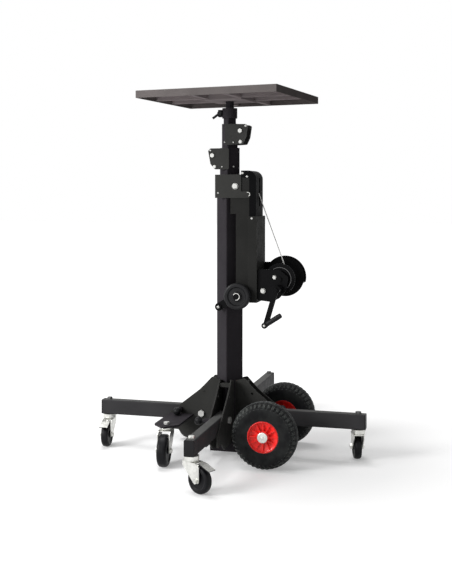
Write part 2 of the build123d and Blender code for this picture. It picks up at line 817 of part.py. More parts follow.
# Lifting cable: up inside the mast, over the pulley and down to the drum
def lift_cable():
    across, down = winch_x - pulley_x, winch_z - pulley_z
    span = hypot(across, down)
    lean = atan2(down, across) + acos_of((pulley_groove - drum_wrap) / span)
    normal = (cos(lean), sin(lean))
    top = (pulley_x, pulley_z + pulley_groove)
    leave = (pulley_x + pulley_groove * normal[0], pulley_z + pulley_groove * normal[1])
    half = (lean + pi / 2) / 2
    quarter = (pulley_x + pulley_groove * cos(half), pulley_z + pulley_groove * sin(half))
    touch = (winch_x + drum_wrap * normal[0], winch_z + drum_wrap * normal[1])
    wound = lean - pi
    finish = (winch_x + drum_wrap * cos(wound), winch_z + drum_wrap * sin(wound))
    between = (winch_x + drum_wrap * cos(lean - pi / 2), winch_z + drum_wrap * sin(lean - pi / 2))
    first = (pulley_x - pulley_groove, pulley_z)
    eighth = (pulley_x - pulley_groove / sqrt(2), pulley_z + pulley_groove / sqrt(2))

    def at(point):
        return (point[0], 0, point[1])

    path = Line(at((cable_x, stage_a_foot)), at(first))
    path = path + ThreePointArc(at(first), at(eighth), at(top))
    path = path + ThreePointArc(at(top), at(quarter), at(leave))
    path = path + Line(at(leave), at(touch))
    path = path + ThreePointArc(at(touch), at(between), at(finish))
    seat = Plane(origin=(cable_x, 0, stage_a_foot), z_dir=(0, 0, 1))
    return sweep(seat * Circle(cable / 2), path=path)


# Brackets at the heads of the inner sections
def small_bracket(outline, inner, x, z):
    plates = both_sides(upright(outline, inner, plate, 6))
    half = small_pulley_width / 2 + slide_gap
    reach = inner + plate + 5
    axle = rod((x, -reach, z), (0, 1, 0), small_axle / 2, 2 * reach)
    sleeves = [rod((x, s * half, z), (0, s, 0), small_axle / 2 + 3, inner - half) for s in (-1, 1)]
    heads = [hexagon((x, s * (inner + plate), z), (0, s, 0), 16, 5) for s in (-1, 1)]
    return fuse(plates + [axle] + sleeves + heads)


def stage_a_bracket():
    inner = corner_reach(stage_a_side) + head_plate_gap
    x = -(stage_a_side / sqrt(2) + small_pulley_gap + small_pulley_rim)
    z = bracket_a_z
    outline = [(x - 18, z + 19), (x - 8, z + 29), (8, z + 29), (8, z - 57), (x + 11, z - 57), (x - 8, z - 35)]
    return small_bracket(outline, inner, x, z)


def stage_b_bracket():
    inner = corner_reach(stage_b_side) + head_plate_gap
    x = stage_b_side / sqrt(2) + small_pulley_gap + small_pulley_rim
    z = bracket_b_z
    outline = [(-10, z + 29), (x + 21, z + 27), (x + 32, z + 22)]
    outline += [(x + 25, z - 25), (x + 12, z - 54), (-10, z - 58)]
    return small_bracket(outline, inner, x, z)


def small_pulley(side, z):
    x = side / sqrt(2) + small_pulley_gap + small_pulley_rim
    wheel = pulley(small_pulley_rim, small_pulley_groove, small_pulley_width, small_axle / 2 + running_gap)
    return Pos(x, 0, z) * wheel


# Clamp collar, turning post and table
def clamp_collar():
    low, high = stage_c_top, collar_top
    ring = rod((0, 0, low), (0, 0, 1), collar_radius, high - low)
    ears = block((lever_x - 9, 0), (-12, 12), (low + 6, high - 6))
    body = ring + ears - rod((0, 0, low), (0, 0, 1), table_post_radius + slide_gap, high - low)
    body = body - block((lever_x - 10, 0), (-collar_slot / 2, collar_slot / 2), (low, high))
    return body - rod((lever_x, -13, (low + high) / 2), (0, 1, 0), 4 + running_gap, 26)


def clamp_lever():
    z = (stage_c_top + collar_top) / 2
    angle = radians(lever_angle)
    bolt = rod((lever_x, -24, z), (0, 1, 0), 4, 24 + 12 + 1)
    nut = rod((lever_x, 12 + slide_gap, z), (0, 1, 0), 8, 6)
    hub = rod((lever_x, -12 - slide_gap, z), (0, -1, 0), 9, 12)
    arm = rod((lever_x, -18 - slide_gap, z), (cos(angle), 0, sin(angle)), lever_radius, lever_length)
    return fuse([bolt, nut, hub, arm])


def table_post():
    low = stage_c_top - table_post_depth
    high = table_top_z - table_sheet - table_rib - table_plate_thickness
    tube = rod((0, 0, low), (0, 0, 1), table_post_radius, high - low)
    return tube - rod((0, 0, low), (0, 0, 1), table_post_radius - table_post_wall, high - low)


def table_frame():
    """Centre plate and the ribs under the sheet, two each way."""
    high = table_top_z - table_sheet
    low = high - table_rib
    half_x, half_y = table_length / 2 - table_sheet, table_width / 2 - table_sheet
    edge = table_plate / 2
    plate_low = low - table_plate_thickness
    pieces = [block((-edge, edge), (-edge, edge), (plate_low, low))]
    for side in (-1, 1):
        middle = side * (edge - table_rib_inset)
        across = (middle - table_rib_half, middle + table_rib_half)
        pieces.append(block((-half_x, half_x), across, (low, high)))
        pieces.append(block(across, (-half_y, half_y), (low, high)))
    return fuse(pieces)


def table_top():
    half_x, half_y = table_length / 2, table_width / 2
    low, high = table_top_z - table_rim, table_top_z
    tray = block((-half_x, half_x), (-half_y, half_y), (low, high))
    tray = fillet(tray.edges().filter_by(Axis.Z), 3)
    wall = table_sheet
    return tray - block((-half_x + wall, half_x - wall), (-half_y + wall, half_y - wall), (low, high - wall))


# Roller on the front of the mast
def roller():
    roll = Cylinder(roller_radius, roller_width, rotation=(90, 0, 0))
    roll = fillet(roll.edges(), 6)
    for side in (-1, 1):
        dish = rod((0, side * (roller_width / 2 - 5), 0), (0, side, 0), roller_radius * 0.66, 6)
        roll = roll - (dish - rod((0, 0, 0), (0, side, 0), roller_hub, roller_width))
    roll = roll - rod((0, -roller_width, 0), (0, 1, 0), roller_axle / 2 + running_gap, 2 * roller_width)
    return Pos(roller_x, roller_y(), roller_z) * roll


def roller_y():
    return -(roller_arm_face() + roller_spacer + slide_gap + roller_width / 2)


def roller_arm_face():
    """Distance from the axis to the outer face of the roller's arm."""
    return head_plate_y + roller_arm_gap + plate


def roller_arm():
    face = roller_arm_face()
    outline = SlotCenterToCenter(hypot(roller_x - roller_arm_x, roller_z - roller_arm_z), 32)
    tilt = degrees(atan2(roller_z - roller_arm_z, roller_x - roller_arm_x))
    middle = Pos((roller_x + roller_arm_x) / 2, (roller_z + roller_arm_z) / 2)
    arm = extrude(Plane.XZ.offset(face) * middle * Rot(0, 0, tilt) * outline, plate, dir=(0, 1, 0))
    cap_y = -face - roller_spacer - roller_width - 2 * slide_gap
    axle = rod((roller_x, -face, roller_z), (0, -1, 0), roller_axle / 2, -face - cap_y)
    cap = rod((roller_x, cap_y, roller_z), (0, -1, 0), 13, 5)
    boss = rod((roller_x, -face, roller_z), (0, 1, 0), 14, face - post_y - plate)
    foot = rod((roller_arm_x, -face, roller_arm_z), (0, 1, 0), 12, face) - square_bar(mast_side, 0, mast_top)
    foot = foot.solids().sort_by(Axis.Y)[0]
    head = hexagon((roller_arm_x, -face, roller_arm_z), (0, -1, 0), 22, 8)
    washer = rod((roller_x, -face, roller_z), (0, -1, 0), 14, roller_spacer)
    return fuse([arm, axle, cap, boss, foot, head, washer])


def main():
    os.makedirs("parts", exist_ok=True)
    save("gusset_plates", gusset_plates())
    save("base_box", base_box())
    save("wheel_arms", both_sides(wheel_arm()))
    save("wheel_axles", both_sides(wheel_axle()))
    save("castor_plates", both_sides(castor_plate()))
    stems = castor_stem_bolt(-mid_radius, mid_offset, mid_height, mid_height + mid_plate)
    save("frame_bolts", pivot_bolts() + both_sides(stems))
    save("lock_sleeves", lock_sleeves())
    stage_a_bore = stage_a_side - 2 * stage_a_wall
    stage_b_bore = stage_b_side - 2 * stage_b_wall
    save("mast_tube", [mast_tube()] + head_glides(stage_a_side, mast_bore, mast_top))
    save("stage_a", stage(stage_a_side, stage_a_wall, stage_a_foot, stage_a_top, mast_bore)
         + head_glides(stage_b_side, stage_a_bore, stage_a_top))
    save("stage_b", stage(stage_b_side, stage_b_wall, stage_b_foot, stage_b_top, stage_a_bore)
         + head_glides(stage_c_side, stage_b_bore, stage_b_top))
    save("stage_c", stage(stage_c_side, stage_c_wall, stage_c_foot, stage_c_top, stage_b_bore))
    for name in leg_turns:
        save("leg_" + name, leg(name))
        save("lock_knob_" + name, lock_knob(name))
        fork = castor_fork(castor_height, castor_wheel, castor_width, castor_trail, pedal_pivot)
        save("fork_" + name, at_leg_end(name, fork))
        save("castor_" + name, at_leg_end(name, castor_roll(castor_wheel, castor_width, castor_trail)))
        save("pedal_" + name, at_leg_end(name, castor_pedal()))
    for name in wheel_sides:
        fork = castor_fork(mid_height, mid_wheel, mid_width, mid_trail)
        save("mid_fork_" + name, beside_left_leg(name, fork))
        save("mid_castor_" + name, beside_left_leg(name, castor_roll(mid_wheel, mid_width, mid_trail)))
        save("tyre_" + name, beside_right_leg(name, tyre()))
        save("rim_" + name, beside_right_leg(name, rim()))
    save("head_bracket", head_bracket())
    big_pulley = pulley(pulley_rim, pulley_groove, pulley_width, small_axle + running_gap)
    save("top_pulley", Pos(pulley_x, 0, pulley_z) * big_pulley)
    save("winch_post", winch_post())
    save("pulley_cover", pulley_cover())
    save("winch_base", winch_base())
    save("winch_frame", winch_frame())
    save("drum", drum())
    save("crank", crank())
    save("grip", grip())
    save("lift_cable", lift_cable())
    save("stage_a_bracket", stage_a_bracket())
    save("stage_b_bracket", stage_b_bracket())
    save("stage_a_pulley", mirror(small_pulley(stage_a_side, bracket_a_z), about=Plane.YZ))
    save("stage_b_pulley", small_pulley(stage_b_side, bracket_b_z))
    save("clamp_collar", clamp_collar())
    save("clamp_lever", clamp_lever())
    save("table_post", turned(table_post(), table_turn))
    save("table_frame", turned(table_frame(), table_turn))
    save("table_top", turned(table_top(), table_turn))
    save("roller", roller())
    save("roller_arm", roller_arm())


main()
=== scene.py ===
import json
from math import cos, pi, radians, sin, sqrt

import bmesh
import bpy
from mathutils import Matrix, Vector


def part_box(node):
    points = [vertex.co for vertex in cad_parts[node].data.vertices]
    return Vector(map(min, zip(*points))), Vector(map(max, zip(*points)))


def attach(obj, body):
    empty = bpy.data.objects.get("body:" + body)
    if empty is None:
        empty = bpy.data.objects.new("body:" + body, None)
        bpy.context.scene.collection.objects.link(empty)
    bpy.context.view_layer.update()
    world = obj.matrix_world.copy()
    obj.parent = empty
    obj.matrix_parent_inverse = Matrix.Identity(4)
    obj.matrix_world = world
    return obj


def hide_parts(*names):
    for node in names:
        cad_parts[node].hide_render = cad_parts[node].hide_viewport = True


# Looks of a hand-cranked mast lift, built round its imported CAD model. Lengths are
# millimetres from the mast's axis and the floor, and at() turns them into the frame's
# metres. The floor, the lamps, FADE_SPAN and VIEW_REACH are in metres.

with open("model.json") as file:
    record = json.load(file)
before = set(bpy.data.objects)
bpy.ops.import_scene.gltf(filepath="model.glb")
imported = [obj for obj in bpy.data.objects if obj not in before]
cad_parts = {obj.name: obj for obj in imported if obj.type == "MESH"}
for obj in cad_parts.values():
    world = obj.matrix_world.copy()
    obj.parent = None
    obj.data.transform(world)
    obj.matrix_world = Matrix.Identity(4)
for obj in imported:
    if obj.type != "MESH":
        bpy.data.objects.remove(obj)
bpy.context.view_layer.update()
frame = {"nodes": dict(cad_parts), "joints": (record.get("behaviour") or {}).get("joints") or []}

MM = 0.001
low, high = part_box("mast_tube")
AXIS = Vector(((low.x + high.x) / 2, (low.y + high.y) / 2, 0))
JOINTS = {joint["name"]: joint for joint in frame["joints"]}
FRONT, BACK = (0, -1, 0), (0, 1, 0)
ALONG_Y, UP = Vector((0, 1, 0)), Vector((0, 0, 1))
LEGS = {"right": (0, 561), "rear": (90, 770), "left": (180, 561), "front": (270, 561)}
WHEELS = ("front", "rear")

# Camera, from the photograph's perspective
CAMERA = (1002.2, -3733.7, 1059.8)
CAMERA_TURN = 14.85
FOCAL_PX = 936.78
FRAME_PX = (452, 584)
PRINCIPAL_PX = (232.66, 195.28)
SENSOR = 36
VIEW_REACH = 200


def at(x, y, z):
    """A point in the frame's metres."""
    return AXIS + Vector((x, y, z)) * MM


def from_axis(point):
    """A point of the frame in mm from the mast's axis and the floor."""
    return (Vector(point) - AXIS) / MM


def joint_at(name):
    return Vector(JOINTS[name]["pos_m"])


# Materials
NOISE_SPAN = (0.3, 0.7)
EDGE_SPAN = (0.995, 0.85)
MIX_FACTOR, MIX_FIRST, MIX_SECOND, MIX_RESULT = 0, 6, 7, 2
GRAIN = (1, 1, 9)
FINE = {"texture": 500, "depth": 0.1}


class Nodes:
    """A material's node tree, built up node by node."""

    def __init__(self, name):
        self.material = bpy.data.materials.new(name)
        self.material.use_nodes = True
        self.tree = self.material.node_tree
        self.shader = self.tree.nodes["Principled BSDF"]
        self.place = self.add("ShaderNodeTexCoord").outputs["Object"]

    def add(self, kind, **values):
        node = self.tree.nodes.new(kind)
        for key, value in values.items():
            setattr(node, key, value)
        return node

    def link(self, source, target):
        self.tree.links.new(source, target)

    def put(self, name, value):
        """A constant or another node's output on one of the shader's sockets."""
        socket = self.shader.inputs[name]
        if isinstance(value, bpy.types.NodeSocket):
            self.link(value, socket)
        else:
            socket.default_value = value

    def noise(self, scale, detail, stretch=None):
        place = self.place
        if stretch:
            mapping = self.add("ShaderNodeMapping")
            mapping.inputs["Scale"].default_value = stretch
            self.link(place, mapping.inputs["Vector"])
            place = mapping.outputs["Vector"]
        node = self.add("ShaderNodeTexNoise")
        node.inputs["Scale"].default_value = scale
        node.inputs["Detail"].default_value = detail
        self.link(place, node.inputs["Vector"])
        return node.outputs["Fac"]

    def ranged(self, source, span, wanted):
        """A span of the source's values, moved to the wanted range."""
        node = self.add("ShaderNodeMapRange")
        names = ("From Min", "From Max", "To Min", "To Max")
        for name, value in zip(names, (*span, *wanted)):
            node.inputs[name].default_value = value
        self.link(source, node.inputs["Value"])
        return node.outputs["Result"]

    def varied(self, wanted, scale, detail, span=NOISE_SPAN, stretch=None):
        """Noise over the wanted range."""
        return self.ranged(self.noise(scale, detail, stretch), span, wanted)

    def mixed(self, factor, first, second):
        node = self.add("ShaderNodeMix", data_type="RGBA")
        self.link(factor, node.inputs[MIX_FACTOR])
        for index, colour in ((MIX_FIRST, first), (MIX_SECOND, second)):
            if isinstance(colour, tuple):
                node.inputs[index].default_value = (*colour, 1)
            else:
                self.link(colour, node.inputs[index])
        return node.outputs[MIX_RESULT]

    def bump(self, height, strength, distance):
        node = self.add("ShaderNodeBump")
        node.inputs["Strength"].default_value = strength
        node.inputs["Distance"].default_value = distance
        self.link(height, node.inputs["Height"])
        self.put("Normal", node.outputs["Normal"])

    def edges(self, radius):
        """1 on edges and corners, 0 on flat faces."""
        bevel = self.add("ShaderNodeBevel", samples=4)
        bevel.inputs["Radius"].default_value = radius
        normal = self.add("ShaderNodeNewGeometry").outputs["Normal"]
        dot = self.add("ShaderNodeVectorMath", operation="DOT_PRODUCT")
        self.link(bevel.outputs["Normal"], dot.inputs[0])
        self.link(normal, dot.inputs[1])
        return self.ranged(dot.outputs["Value"], EDGE_SPAN, (0, 1))


def shade(colour, factor):
    return tuple(min(1.0, part * factor) for part in colour)


def either_side(middle, reach):
    return middle - reach, middle + reach


def painted(name, colour, roughness, level, texture=1100, depth=0.35, wear_and_highlight=2.2, coat=0.0):
    """Powder coat or paint: fine orange peel, faint blotches and edges painted lighter, partly
    wear and partly painted highlight.
    """
    nodes = Nodes(name)
    blotch = nodes.varied((0, 1), scale=9, detail=5)
    body = nodes.mixed(blotch, shade(colour, 0.86), shade(colour, 1.14))
    speck = nodes.varied((0, 0.35), scale=texture * 0.6, detail=1, span=(0.58, 0.72))
    body = nodes.mixed(speck, body, shade(colour, 1.7))
    # edges painted lighter by a factor: partly edge wear, partly a painted highlight along the
    # edges
    body = nodes.mixed(nodes.edges(1.2 * MM), body, shade(colour, wear_and_highlight))
    nodes.put("Base Color", body)
    nodes.put("Roughness", nodes.varied(either_side(roughness, 0.07), scale=30, detail=4))
    nodes.put("Specular IOR Level", level)
    nodes.put("Coat Weight", coat)
    nodes.put("Coat Roughness", 0.12)
    nodes.bump(nodes.noise(scale=texture, detail=2), strength=depth, distance=0.3 * MM)
    return nodes.material


def plated(name, colour, roughness):
    """Zinc plate: bright metal with a faint drawn grain and duller patches."""
    nodes = Nodes(name)
    patch = nodes.varied((0, 1), scale=45, detail=5, span=(0.35, 0.65))
    nodes.put("Base Color", nodes.mixed(patch, shade(colour, 0.82), shade(colour, 1.08)))
    rough = (roughness - 0.08, roughness + 0.12)
    nodes.put("Roughness", nodes.varied(rough, scale=160, detail=3, stretch=GRAIN))
    nodes.put("Metallic", 1.0)
    grain = nodes.noise(scale=300, detail=3, stretch=GRAIN)
    nodes.bump(grain, strength=0.12, distance=0.2 * MM)
    return nodes.material


def rubber(name, colour, roughness, dust, wear_and_highlight):
    """Rubber: fine mould grain, with dust that has settled unevenly and edges painted lighter,
    partly scuffing and partly painted highlight.
    """
    nodes = Nodes(name)
    settled = nodes.varied((0, 0.75), scale=22, detail=6, span=(0.42, 0.7))
    body = nodes.mixed(settled, colour, dust)
    # edges painted lighter than the dust: partly scuffing, partly a painted highlight
    nodes.put("Base Color", nodes.mixed(nodes.edges(2.2 * MM), body, shade(dust, wear_and_highlight)))
    nodes.put("Roughness", nodes.varied(either_side(roughness, 0.08), scale=60, detail=3))
    nodes.put("Specular IOR Level", 0.14)
    nodes.bump(nodes.noise(scale=700, detail=3), strength=0.3, distance=0.4 * MM)
    return nodes.material


def moulded(name, colour, roughness):
    """Moulded plastic: a leathery eroded grain."""
    nodes = Nodes(name)
    blotch = nodes.varied((0, 1), scale=25, detail=4)
    nodes.put("Base Color", nodes.mixed(blotch, shade(colour, 0.8), shade(colour, 1.25)))
    nodes.put("Roughness", nodes.varied(either_side(roughness, 0.06), scale=90, detail=2))
    nodes.put("Specular IOR Level", 0.14)
    grain = nodes.add("ShaderNodeTexVoronoi")
    grain.inputs["Scale"].default_value = 900
    nodes.link(nodes.place, grain.inputs["Vector"])
    nodes.bump(grain.outputs["Distance"], strength=0.25, distance=0.3 * MM)
    return nodes.material


def stranded(name, colour):
    """Wire rope: strands laid at an angle."""
    nodes = Nodes(name)
    wave = nodes.add("ShaderNodeTexWave", bands_direction="DIAGONAL")
    wave.inputs["Scale"].default_value = 220
    wave.inputs["Distortion"].default_value = 1.5
    nodes.link(nodes.place, wave.inputs["Vector"])
    strand = wave.outputs["Fac"]
    nodes.put("Base Color", nodes.mixed(strand, shade(colour, 0.7), shade(colour, 1.15)))
    nodes.put("Metallic", 0.5)
    nodes.put("Roughness", nodes.varied((0.3, 0.5), scale=200, detail=2))
    nodes.bump(strand, strength=0.6, distance=0.5 * MM)
    return nodes.material


STEEL = painted("powder_coat", (0.032, 0.029, 0.033), 0.52, level=0.02)
LEG = painted("leg_coat", (0.040, 0.039, 0.041), 0.52, level=0.05)
# legs' upper faces painted lighter: painted light falling from above
LEG_LIT_TOP = painted("leg_top_painted_light", (0.090, 0.090, 0.088), 0.65, level=0.05, wear_and_highlight=1.3)
PLATE = painted("plate_coat", (0.038, 0.038, 0.036), 0.50, level=0.05, texture=700, depth=0.5)
TABLE = painted("table_coat", (0.145, 0.130, 0.127), 0.55, level=0.0, wear_and_highlight=1.4)
# underside and frame painted twice as light as the table: painted light bouncing up from the floor
BOUNCE_LIT_UNDERSIDE = painted("underside_painted_bounce", (0.30, 0.262, 0.265), 0.6, level=0.0, wear_and_highlight=1.2)
POST = painted("post_coat", (0.024, 0.024, 0.023), 0.55, level=0.015)
GLOSS = painted("gloss_black", (0.006, 0.006, 0.0065), 0.35, level=0.03, wear_and_highlight=3.0, **FINE)
COVER = painted("cover_black", (0.007, 0.007, 0.0075), 0.42, level=0.004, wear_and_highlight=3.0, **FINE)
ROLLED = painted("rolled_edge", (0.012, 0.012, 0.012), 0.22, level=0.55, wear_and_highlight=3.0, coat=0.6,
                 **FINE)
RED = painted("rim_red", (0.90, 0.020, 0.016), 0.36, level=0.30, texture=400, depth=0.08,
              wear_and_highlight=1.3, coat=0.12)
ZINC = plated("zinc_plate", (0.66, 0.66, 0.63), 0.32)
BOLT_ZINC = plated("bolt_zinc", (0.40, 0.40, 0.385), 0.40)
DULL_ZINC = plated("dull_zinc", (0.10, 0.10, 0.10), 0.42)
# pivot bolts in a bright non-metallic colour: zinc's light tone plus a painted glint that shows
# even in shade
PIVOT_ZINC_AND_GLINT = painted("pivot_zinc_painted_glint", (0.60, 0.60, 0.58), 0.38, level=0.5, wear_and_highlight=1.2, **FINE)
# tyre edges painted eight times the dust colour: mostly a painted highlight on the lug edges
TYRE = rubber("tyre_rubber", (0.004, 0.0042, 0.0048), 0.62, (0.026, 0.028, 0.027), 8.0)
# lighter grey rubber for the lug shoulders: a painted highlight, not a different rubber
LUG_SHOULDER_HIGHLIGHT = rubber("lug_shoulder_painted_highlight", (0.044, 0.047, 0.044), 0.70, (0.080, 0.083, 0.080), 2.0)
CASTOR = rubber("castor_rubber", (0.004, 0.004, 0.005), 0.42, (0.010, 0.010, 0.012), 2.0)
PLASTIC = moulded("black_plastic", (0.009, 0.009, 0.010), 0.42)
WIRE = stranded("wire_rope", (0.62, 0.62, 0.60))

# Mesh helpers
CORNER_SHARE = 0.45
CORNER_STEPS = 3
ON_AXIS = 0.01
HEAD_SEGMENTS = 36
HEX_SEGMENTS = 48
WASHER, WASHER_EDGE, WASHER_SHARE = 1.8, 0.4, 0.62
CHAMFER_SHARE, HEX_TOP_SHARE = 0.78, 0.47
WIRE_SIDES = 10


def towards(place, axis):
    """Matrix that puts the origin at a place and Z along an axis."""
    return Matrix.Translation(place) @ Vector(axis).to_track_quat("Z", "Y").to_matrix().to_4x4()


def on_circle(radius, turn, height=0):
    return Vector((radius * cos(turn), radius * sin(turn), height))


def rounded(points, radius):
    """The closed outline with every corner rounded."""
    result = []
    for index, point in enumerate(points):
        here = Vector(point)
        before = Vector(points[index - 1]) - here
        after = Vector(points[(index + 1) % len(points)]) - here
        trim = min(radius, before.length * CORNER_SHARE, after.length * CORNER_SHARE)
        start, end = here + before.normalized() * trim, here + after.normalized() * trim
        for step in range(CORNER_STEPS + 1):
            t = step / CORNER_STEPS
            result.append(tuple(start * (1 - t) ** 2 + here * 2 * t * (1 - t) + end * t ** 2))
    return result


def mirrored(side):
    """One side of an outline of (radius, distance from the middle), and the other."""
    return side + [(radius, -y) for radius, y in reversed(side)]


def join_rings(bm, first, second):
    """Faces between two rings of vertices, either of which may be a single vertex."""
    made = []
    count = max(len(first), len(second))
    for i in range(count):
        j = (i + 1) % count
        if len(first) == 1:
            corners = (first[0], second[i], second[j])
        elif len(second) == 1:
            corners = (first[i], first[j], second[0])
        else:
            corners = (first[i], first[j], second[j], second[i])
        made.append(bm.faces.new(corners))
    return made


def skin(bm, rings):
    """Faces along a row of rings, open at both ends."""
    for first, second in zip(rings, rings[1:]):
        join_rings(bm, first, second)


def tube(bm, rings):
    """Faces along a row of rings, closed at both ends."""
    skin(bm, rings)
    bm.faces.new(rings[0])
    bm.faces.new(rings[-1])


def lathe(bm, outline, matrix, segments, closed=False):
    """Turned body: outline of (radius, height) in mm round the matrix's Z axis."""
    rings = []
    for radius, height in outline:
        if radius < ON_AXIS:
            rings.append([bm.verts.new(matrix @ Vector((0, 0, height * MM)))])
            continue
        ring = []
        for step in range(segments):
            turn = 2 * pi * step / segments
            ring.append(bm.verts.new(matrix @ (on_circle(radius, turn, height) * MM)))
        rings.append(ring)
    skin(bm, rings)
    if closed:
        join_rings(bm, rings[-1], rings[0])


def hex_reach(turn, across):
    """Distance from a hexagon's middle to its side."""
    return across / 2 / cos((turn + pi / 6) % (pi / 3) - pi / 6)


def hex_head(bm, matrix, across, height):
    """Hexagon head with a chamfered top on a thin washer."""
    washer = across * WASHER_SHARE
    inner = washer - WASHER_EDGE
    outline = [(0, 0), (inner, 0), (washer, WASHER_EDGE), (washer, WASHER - WASHER_EDGE),
               (inner, WASHER), (0, WASHER)]
    lathe(bm, outline, matrix, HEAD_SEGMENTS)
    top = across * HEX_TOP_SHARE
    rings = [[bm.verts.new(matrix @ Vector((0, 0, WASHER * MM)))]]
    for level, limit in ((WASHER, across), (height * CHAMFER_SHARE, across), (height, top)):
        ring = []
        for step in range(HEX_SEGMENTS):
            turn = 2 * pi * step / HEX_SEGMENTS
            reach = min(hex_reach(turn, across), limit)
            ring.append(bm.verts.new(matrix @ (on_circle(reach, turn, level) * MM)))
        rings.append(ring)
    rings.append([bm.verts.new(matrix @ Vector((0, 0, height * MM)))])
    skin(bm, rings)


def dome_head(bm, matrix, across, height):
    """Round head with a shallow socket."""
    radius = across / 2
    outline = [(0, 0), (radius, 0), (radius, height * 0.35), (radius * 0.86, height * 0.75),
               (radius * 0.6, height), (radius * 0.42, height), (radius * 0.38, height * 0.45),
               (0, height * 0.4)]
    lathe(bm, outline, matrix, HEAD_SEGMENTS)


def wire_ring(middle, out, up, wire, sides):
    """Points of a wire's round section, in the plane of two directions."""
    turns = [2 * pi * side / sides for side in range(sides)]
    return [middle + (out * cos(turn) + up * sin(turn)) * wire for turn in turns]


def arc_ring(bm, matrix, radius, wire, start, end, steps):
    """Open ring of round wire between two angles in degrees, closed at its ends."""
    rings = []
    for step in range(steps + 1):
        out = on_circle(1, radians(start + (end - start) * step / steps))
        points = wire_ring(out * radius, out, UP, wire, WIRE_SIDES)
        rings.append([bm.verts.new(matrix @ (point * MM)) for point in points])
    tube(bm, rings)


def piece(name, bm, material, body, slot, replaces=(), crease=32):
    """The finished mesh as a piece that rides on a body."""
    bmesh.ops.recalc_face_normals(bm, faces=bm.faces)
    mesh = bpy.data.meshes.new(name)
    bm.to_mesh(mesh)
    bm.free()
    mesh.materials.append(material)
    mesh.polygons.foreach_set("use_smooth", [True] * len(mesh.polygons))
    mesh.set_sharp_from_angle(angle=radians(crease))
    shown = bpy.data.objects.new(name, mesh)
    bpy.context.scene.collection.objects.link(shown)
    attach(shown, body)
    if replaces:
        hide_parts(*replaces)
    return shown


def turned(name, outline, place, axis, segments, *look, closed=False):
    """A turned body as a piece, with its material, body and what it replaces; the slot among them
    is not used.
    """
    bm = bmesh.new()
    lathe(bm, outline, towards(place, axis), segments, closed)
    piece(name, bm, *look)


# CAD nodes
SHEET_UNDERSIDE = 1475
LEG_HEIGHT = 190
LEG_CAP = 5.2
SAME_LEVEL = 0.2
TREAD_SLOPE = 0.25
STAGE_A_PLATE, STAGE_B_PLATE = 46.4, 37.9
LEVER_PIN = 12.1
HANDLE_ENDS = -116.1
PLAIN = (
    (STEEL, "base_box wheel_arms castor_plates lock_sleeves mast_tube stage_a stage_b stage_c"),
    (STEEL, "clamp_collar table_post"),
    (PLATE, "gusset_plates head_bracket"),
    (POST, "winch_post winch_base"),
    (GLOSS, "winch_frame roller_arm drum crank"),
    (COVER, "pulley_cover"),
    # table frame painted lighter as light bouncing up from the floor
    (BOUNCE_LIT_UNDERSIDE, "table_frame"),
    (RED, "rim_front rim_rear"),
    (ZINC, "wheel_axles mid_fork_front mid_fork_rear"),
    # frame bolts carry the painted glint
    (PIVOT_ZINC_AND_GLINT, "frame_bolts"),
    (DULL_ZINC, "top_pulley"),
    (PLASTIC, "stage_a_pulley stage_b_pulley"),
    (WIRE, "lift_cable"),
)


def paint(node, materials, rule=None):
    """Materials on a CAD node, and which of them each face takes by place and normal."""
    mesh = frame["nodes"][node].data
    mesh.materials.clear()
    for each in materials:
        mesh.materials.append(each)
    for face in mesh.polygons:
        face.material_index = rule(from_axis(face.center), face.normal) if rule else 0


for material, nodes in PLAIN:
    for node in nodes.split():
        paint(node, [material])
# the sheet's underside takes the lighter material of painted bounce light
paint("table_top", [TABLE, BOUNCE_LIT_UNDERSIDE],
      lambda point, normal: int(abs(point.z - SHEET_UNDERSIDE) < SAME_LEVEL))
paint("stage_a_bracket", [PLATE, BOLT_ZINC],
      lambda point, normal: int(abs(point.y) > STAGE_A_PLATE))
paint("stage_b_bracket", [PLATE, BOLT_ZINC],
      lambda point, normal: int(abs(point.y) > STAGE_B_PLATE))
paint("clamp_lever", [PLASTIC, ZINC], lambda point, normal: int(point.y > LEVER_PIN))
paint("grip", [PLASTIC, ZINC], lambda point, normal: int(point.y > HANDLE_ENDS))

for name, (turn, reach) in LEGS.items():
    along = on_circle(1, radians(turn))

    def leg_rule(point, normal, along=along, cap_starts=reach - LEG_CAP):
        """Box, end cap, castor's bolt, or upper face painted lighter as light falling on it."""
        if point.z > LEG_HEIGHT + SAME_LEVEL:
            return 2
        if point.dot(along) > cap_starts:
            return 1
        # upper face: painted light
        return 3 if point.z > LEG_HEIGHT - SAME_LEVEL else 0

    bolt = ZINC if name == "front" else DULL_ZINC
    paint("leg_" + name, [LEG, PLASTIC, bolt, LEG_LIT_TOP], leg_rule)
    paint("fork_" + name, [ZINC])
    paint("pedal_" + name, [PLASTIC, ZINC], lambda point, normal: int(normal.z > TREAD_SLOPE))
    paint("lock_knob_" + name, [PLASTIC])

